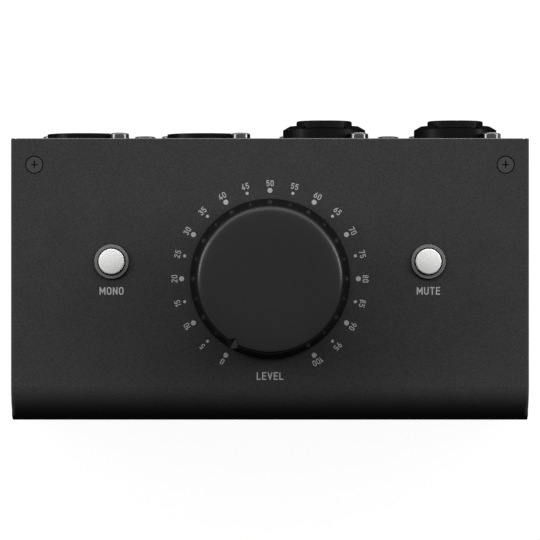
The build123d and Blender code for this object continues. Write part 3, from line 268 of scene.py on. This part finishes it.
def scale_prints():
    """A dot at each step of the scale and its number beyond it, turned so that its top points outwards."""
    dots = []
    numerals = []
    for step in range(SCALE_STEPS + 1):
        turn = scale_turn * (step / SCALE_STEPS - 0.5)
        way = Vector((sin(radians(turn)), cos(radians(turn))))
        dot = dot_pieces(FIVE_DOT_R if step % 2 else TEN_DOT_R)
        dots.append((dot, knob_x + way.x * DOT_CIRCLE_R, knob_y + way.y * DOT_CIRCLE_R, 0.0))
        word = word_pieces(str(step * STEP_VALUE), NUMERAL_HEIGHT, NUMERAL_STROKE)
        x = knob_x + way.x * NUMERAL_CIRCLE_R
        y = knob_y + way.y * NUMERAL_CIRCLE_R
        numerals.append((word, x, y, -radians(turn)))
    return [ink_mesh("scale_dots", dots), ink_mesh("scale_numbers", numerals)]


def label(name, word, x, y):
    return ink_mesh(name, [(word_pieces(word, LABEL_HEIGHT, LABEL_STROKE), x, y, 0.0)])


def print_panel():
    """The scale, the word ahead of the knob and a word ahead of each button, all in one ink."""
    prints = scale_prints()
    prints.append(label("level_label", "LEVEL", knob_x, knob_y - LEVEL_LABEL_DROP))
    for button in BUTTONS:
        middle = middle_of(f"{button}_button")
        prints.append(label(f"{button}_label", button.upper(), middle.x, middle.y - BUTTON_LABEL_DROP))
    material = ink()
    for piece in prints:
        piece.data.materials.append(material)


# ---------------------------------------------------------------- materials
def grey(tone):
    return (tone, tone, tone, 1.0)


def shade(colour, factor):
    return tuple(channel * factor for channel in colour)


class Tree:
    """Short names for building a node tree."""

    def __init__(self, tree):
        self.tree = tree
        tree.nodes.clear()

    def node(self, kind, **settings):
        node = self.tree.nodes.new(kind)
        for key, value in settings.items():
            setattr(node, key, value)
        return node

    def link(self, source, target):
        self.tree.links.new(source, target)

    def noise(self, vector, size, detail=2.0):
        """Noise with features of about this size in metres."""
        noise = self.node("ShaderNodeTexNoise")
        noise.inputs["Scale"].default_value = 1 / size
        noise.inputs["Detail"].default_value = detail
        self.link(vector, noise.inputs["Vector"])
        return noise.outputs["Fac"]

    def spread(self, value, low, high, between=NOISE_RANGE):
        """Low where the value is at the start of the range between, and high at its end."""
        spread = self.node("ShaderNodeMapRange")
        self.link(value, spread.inputs["Value"])
        for socket, number in zip(("From Min", "From Max", "To Min", "To Max"), (*between, low, high)):
            spread.inputs[socket].default_value = number
        return spread.outputs["Result"]

    def maths(self, operation, first, second):
        node = self.node("ShaderNodeMath", operation=operation)
        for socket, value in zip(node.inputs, (first, second)):
            if isinstance(value, float):
                socket.default_value = value
            else:
                self.link(value, socket)
        return node.outputs["Value"]

    def mix(self, factor, first, second):
        """Mixed colours. The node has sockets of the same names for other types, so these go by number."""
        node = self.node("ShaderNodeMix", data_type="RGBA")
        self.link(factor, node.inputs["Factor"])
        for socket, value in zip((node.inputs[6], node.inputs[7]), (first, second)):
            if isinstance(value, tuple):
                socket.default_value = (*value, 1.0)
            else:
                self.link(value, socket)
        return node.outputs[2]

    def show(self, surface, kind="ShaderNodeOutputMaterial"):
        self.link(surface, self.node(kind).inputs["Surface"])


def new_material(name):
    material = bpy.data.materials.new(name)
    material.use_nodes = True
    return material, Tree(material.node_tree)


def worn_edges(tree, base, worn, grain):
    """The base, rubbed to the worn colour at its edges where the grain is high."""
    bevel = tree.node("ShaderNodeBevel", samples=WORN_SAMPLES)
    bevel.inputs["Radius"].default_value = WORN_WIDTH
    geometry = tree.node("ShaderNodeNewGeometry")
    facing = tree.node("ShaderNodeVectorMath", operation="DOT_PRODUCT")
    tree.link(bevel.outputs["Normal"], facing.inputs[0])
    tree.link(geometry.outputs["Normal"], facing.inputs[1])
    edge = tree.spread(facing.outputs["Value"], 1.0, 0.0, WORN_FACING)
    rubbed = tree.maths("MULTIPLY", edge, tree.spread(grain, 0.0, WORN_SHARE, WORN_GRAIN))
    return tree.mix(rubbed, base, worn)


def painted_edge_highlight(tree, base, place, start):
    """The base, with a painted highlight behind this place along Y: a lighter band on the rear edge, standing in
    for the light that its rounding catches.
    """
    split = tree.node("ShaderNodeSeparateXYZ")
    tree.link(place, split.inputs["Vector"])
    lit_band = tree.spread(split.outputs["Y"], 0.0, 1.0, (start, start + HIGHLIGHT_BAND_BLEND))
    return tree.mix(lit_band, base, PAINTED_EDGE_HIGHLIGHT)


# Painted shade: the base goes towards near-black in crevices narrower than the width, found by ambient occlusion,
# where shade falls.
def painted_crevice_shade(tree, base, width):
    near = tree.node("ShaderNodeAmbientOcclusion", samples=CREVICE_SHADE_SAMPLES)
    near.inputs["Distance"].default_value = width
    return tree.mix(tree.spread(near.outputs["AO"], 0.0, 1.0, CREVICE_SHADE_OPENNESS), PAINTED_CREVICE_SHADE, base)


def finish(
    name,
    colour,
    roughness,
    metallic=0.0,
    specular=0.5,
    edge_tint=1.0,
    coat=0.0,
    grain=0.3 * MM,
    grain_tone=0.1,
    patch=6 * MM,
    patch_tone=0.06,
    relief=0.01 * MM,
    roughness_spread=0.06,
    stretch=(1.0, 1.0, 1.0),
    worn=None,
    crevice=0.0,
    highlight_from=None,
):
    """A surface with grain, slow patches and a varied gloss. Where worn is a colour, its edges are rubbed.
    Crevices narrower than the given width get painted shade: their colour goes towards near-black by ambient
    occlusion. Behind the given place along Y, the sheet's rear edge gets a painted highlight, a lighter band
    for the light that its rounding catches. With a lower edge_tint the surface mirrors less at grazing angles."""
    material, tree = new_material(name)
    place = tree.node("ShaderNodeTexCoord").outputs["Object"]
    mapping = tree.node("ShaderNodeMapping")
    mapping.inputs["Scale"].default_value = stretch
    tree.link(place, mapping.inputs["Vector"])
    fine = tree.noise(mapping.outputs["Vector"], grain)
    slow = tree.noise(place, patch, PATCH_DETAIL)
    dark = shade(colour, 1 - grain_tone)
    light = shade(colour, 1 + grain_tone)
    tone = tree.node("ShaderNodeHueSaturation")
    tree.link(tree.mix(tree.spread(fine, 0.0, 1.0), dark, light), tone.inputs["Color"])
    tree.link(tree.spread(slow, 1 - patch_tone, 1 + patch_tone), tone.inputs["Value"])
    base = tone.outputs["Color"]
    if worn:
        base = worn_edges(tree, base, worn, fine)
    # painted highlight along the rear edge
    if highlight_from:
        base = painted_edge_highlight(tree, base, place, highlight_from)
    # painted shade in crevices, gaps and at the foot of raised parts
    if crevice:
        base = painted_crevice_shade(tree, base, crevice)
    gloss = tree.spread(slow, roughness - roughness_spread, roughness + roughness_spread)
    shader = tree.node("ShaderNodeBsdfPrincipled")
    tree.link(base, shader.inputs["Base Color"])
    tree.link(gloss, shader.inputs["Roughness"])
    shader.inputs["Metallic"].default_value = metallic
    shader.inputs["Specular IOR Level"].default_value = specular
    shader.inputs["Specular Tint"].default_value = grey(edge_tint)
    shader.inputs["Coat Weight"].default_value = coat
    shader.inputs["Coat Roughness"].default_value = COAT_ROUGHNESS
    bump = tree.node("ShaderNodeBump")
    bump.inputs["Distance"].default_value = relief
    tree.link(fine, bump.inputs["Height"])
    tree.link(bump.outputs["Normal"], shader.inputs["Normal"])
    tree.show(shader.outputs["BSDF"])
    return material


def finishes():
    """The finish of each of the record's material slots."""
    metal = dict(metallic=1.0, grain=0.12 * MM, grain_tone=0.06, relief=0.002 * MM)
    # A crevice width gives painted shade in that material's gaps and hollows: the seams and button gaps, and the
    # panel round the knob and bezels.
    return {
        "casing": finish(
            "powder_coat", (0.041, 0.041, 0.042), 0.62, specular=0.0, grain=0.30 * MM, grain_tone=0.28,
            patch=9 * MM, patch_tone=0.04, relief=0.02 * MM, worn=(0.09, 0.09, 0.09),
            # painted highlight along the top cover's rear edge
            crevice=0.9 * MM, highlight_from=cover_rear - HIGHLIGHT_BAND_WIDTH,
        ),
        "foot": finish("rubber", (0.012, 0.012, 0.012), 0.8, grain=0.2 * MM, relief=0.02 * MM),
        "black_screw": finish(
            "black_oxide", (0.047, 0.047, 0.047), 0.5, specular=0.1, grain=0.1 * MM, relief=0.004 * MM,
            worn=(0.10, 0.10, 0.10), crevice=0.4 * MM,
        ),
        "bright_screw": finish("nickel", (0.065, 0.065, 0.065), 0.2, crevice=0.4 * MM, **metal),
        "steel": finish("zinc", (0.55, 0.56, 0.58), 0.42, **metal),
        "connector": finish(
            "moulded_nylon", (0.008, 0.008, 0.008), 0.36, specular=0.0, metallic=0.5, edge_tint=0.0,
            grain=0.15 * MM, relief=0.004 * MM, crevice=0.6 * MM,
        ),
        "insert": finish(
            "polyamide", (0.010, 0.010, 0.010), 0.34, specular=0.0, metallic=0.5, edge_tint=0.0,
            grain=0.2 * MM, relief=0.004 * MM, crevice=0.6 * MM,
        ),
        "contact": finish("gold_flash", (0.78, 0.60, 0.28), 0.28, **metal),
        "board": finish(
            "solder_mask", (0.012, 0.085, 0.030), 0.35, grain=0.5 * MM, grain_tone=0.2, coat=0.4,
        ),
        "chip": finish("chip_glaze", (0.02, 0.02, 0.02), 0.4),
        "ribbon": finish(
            "ribbon_pvc", (0.27, 0.28, 0.30), 0.5, stretch=(12.0, 0.2, 0.2), grain=6 * MM, grain_tone=0.25,
        ),
        "socket": finish("socket_moulding", (0.012, 0.012, 0.012), 0.5),
        "pot_metal": finish("nickelled_brass", (0.56, 0.50, 0.36), 0.34, **metal),
        "pot_plastic": finish("phenolic", (0.060, 0.030, 0.016), 0.45, grain=0.4 * MM, grain_tone=0.25),
        "track": finish("carbon_track", (0.010, 0.010, 0.010), 0.5),
        "shaft": finish("turned_aluminium", (0.72, 0.72, 0.73), 0.3, stretch=(0.3, 0.3, 8.0), **metal),
        "knob": finish(
            "satin_black", (0.024, 0.024, 0.024), 0.29, specular=0.0, metallic=0.65, edge_tint=0.0,
            grain=0.16 * MM, grain_tone=0.12, patch=14 * MM, patch_tone=0.03, relief=0.004 * MM,
            roughness_spread=0.02, crevice=0.6 * MM,
        ),
        "skirt": finish(
            "polished_black", (0.005, 0.005, 0.005), 0.16, specular=0.15, grain=0.2 * MM,
            relief=0.001 * MM, roughness_spread=0.03, crevice=0.6 * MM,
        ),
        "cap": finish(
            "gloss_white", (0.78, 0.78, 0.77), 0.22, specular=0.3, grain=0.6 * MM, grain_tone=0.01,
            patch_tone=0.02, relief=0.001 * MM, roughness_spread=0.03, crevice=0.4 * MM,
        ),
        "bezel": finish(
            "grey_satin", (0.13, 0.13, 0.13), 0.42, specular=0.4, grain=0.12 * MM, grain_tone=0.08,
            relief=0.004 * MM, crevice=0.4 * MM,
        ),
        "switch": finish("switch_moulding", (0.015, 0.015, 0.016), 0.45),
        "plunger": finish("acetal", (0.70, 0.70, 0.67), 0.35, grain_tone=0.02),
    }


def ink():
    return finish(
        "print_ink", (0.36, 0.36, 0.355), 0.6, specular=0.2, grain=0.12 * MM, grain_tone=0.08,
        patch=2 * MM, relief=0.002 * MM,
    )


def dress_frame():
    """Every CAD node takes the finish of its slot."""
    table = finishes()
    for row in frame["record"]["subparts"]:
        node = frame["nodes"][row["node"]]
        node.data.materials.clear()
        node.data.materials.append(table[row["material_slot"]])


# ---------------------------------------------------------------- springs
def sprung(spring):
    """A copy of the spring that stands for it in the casing, while the CAD spring is hidden."""
    piece = add(f"{spring}_coil", frame["nodes"][spring].data.copy())
    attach(piece, "casing")
    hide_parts(spring)
    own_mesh(piece)


def springs():
    """A stand-in copy of each button's spring and of each latch's spring."""
    for button in BUTTONS:
        sprung(f"{button}_spring")
    for side in INPUTS:
        spring = f"{side}_latch_spring"
        sprung(spring)


# ---------------------------------------------------------------- stage
def background_seen(tree):
    """1 for rays that show the background itself: camera, glossy and transmission rays."""
    path = tree.node("ShaderNodeLightPath").outputs
    seen = tree.maths("MAXIMUM", path["Is Camera Ray"], path["Is Glossy Ray"])
    return tree.maths("MAXIMUM", seen, path["Is Transmission Ray"])


def floor():
    """A matt floor that keeps the object's shadow and adds its own light where it is seen."""
    mesh = bmesh.new()
    bmesh.ops.create_grid(mesh, x_segments=FLOOR_CELLS, y_segments=FLOOR_CELLS, size=FLOOR_HALF)
    plane = add("floor", mesh_data("floor", mesh))
    material, tree = new_material("pale_floor")
    matt = tree.node("ShaderNodeBsdfDiffuse")
    matt.inputs["Color"].default_value = grey(FLOOR_TONE)
    glow = tree.node("ShaderNodeEmission")
    glow.inputs["Color"].default_value = grey(1.0)
    tree.link(tree.maths("MULTIPLY", background_seen(tree), FLOOR_GLOW), glow.inputs["Strength"])
    both = tree.node("ShaderNodeAddShader")
    tree.link(matt.outputs["BSDF"], both.inputs[0])
    tree.link(glow.outputs["Emission"], both.inputs[1])
    tree.show(both.outputs["Shader"])
    plane.data.materials.append(material)


def surroundings():
    """White where it is seen, with little light of its own on the object."""
    studio = bpy.data.worlds.new("studio")
    bpy.context.scene.world = studio
    studio.use_nodes = True
    tree = Tree(studio.node_tree)
    dim = tree.node("ShaderNodeBackground")
    dim.inputs["Color"].default_value = grey(1.0)
    dim.inputs["Strength"].default_value = AMBIENT
    white = tree.node("ShaderNodeBackground")
    white.inputs["Color"].default_value = grey(1.0)
    mixed = tree.node("ShaderNodeMixShader")
    tree.link(background_seen(tree), mixed.inputs["Fac"])
    tree.link(dim.outputs["Background"], mixed.inputs[1])
    tree.link(white.outputs["Background"], mixed.inputs[2])
    tree.show(mixed.outputs["Shader"], "ShaderNodeOutputWorld")


def softbox(name, azimuth, elevation, distance, width, height, share):
    """Area lamp aimed at the top face. Its share is of the light that shows a colour as written."""
    azimuth = radians(azimuth)
    elevation = radians(elevation)
    way = Vector((cos(azimuth) * cos(elevation), sin(azimuth) * cos(elevation), sin(elevation)))
    lamp = bpy.data.lights.new(name, "AREA")
    lamp.shape = "RECTANGLE"
    lamp.size = width
    lamp.size_y = height
    lamp.energy = share * (pi * distance) ** 2 / sin(elevation)
    box = add(name, lamp)
    box.location = Vector((knob_x, knob_y, panel_z)) + way * distance
    box.rotation_mode = "QUATERNION"
    box.rotation_quaternion = way.to_track_quat("Z", "Y")


def softbox_pair(name, azimuth, **sizes):
    """One lamp at each side, the right one at this azimuth."""
    softbox(f"left_{name}", 180 - azimuth, **sizes)
    softbox(f"right_{name}", azimuth, **sizes)


def lights():
    """Light from the rear and the sides. Angles are in degrees, an azimuth of 90 is straight behind."""
    softbox("rear_strip", azimuth=90, elevation=30, distance=1.25, width=1.7, height=0.30, share=0.30)
    softbox("rear_edge", azimuth=90, elevation=14, distance=1.25, width=1.7, height=0.12, share=0.10)
    softbox_pair("softbox", azimuth=15, elevation=18, distance=1.1, width=0.52, height=0.20, share=0.20)
    softbox_pair("fill", azimuth=38, elevation=28, distance=1.1, width=0.45, height=0.30, share=0.12)


def camera():
    """Straight above, a little behind the knob's axis."""
    lens = bpy.data.cameras.new("camera")
    lens.lens = LENS
    lens.sensor_width = SENSOR
    view = add("camera", lens)
    view.location = (knob_x, knob_y + CAMERA_BEHIND_KNOB, panel_z + CAMERA_HEIGHT)
    bpy.context.scene.camera = view


# ---------------------------------------------------------------- the scene
camera()
surroundings()
floor()
lights()
dress_frame()
springs()
print_panel()
bpy.context.scene.view_settings.view_transform = "Standard"
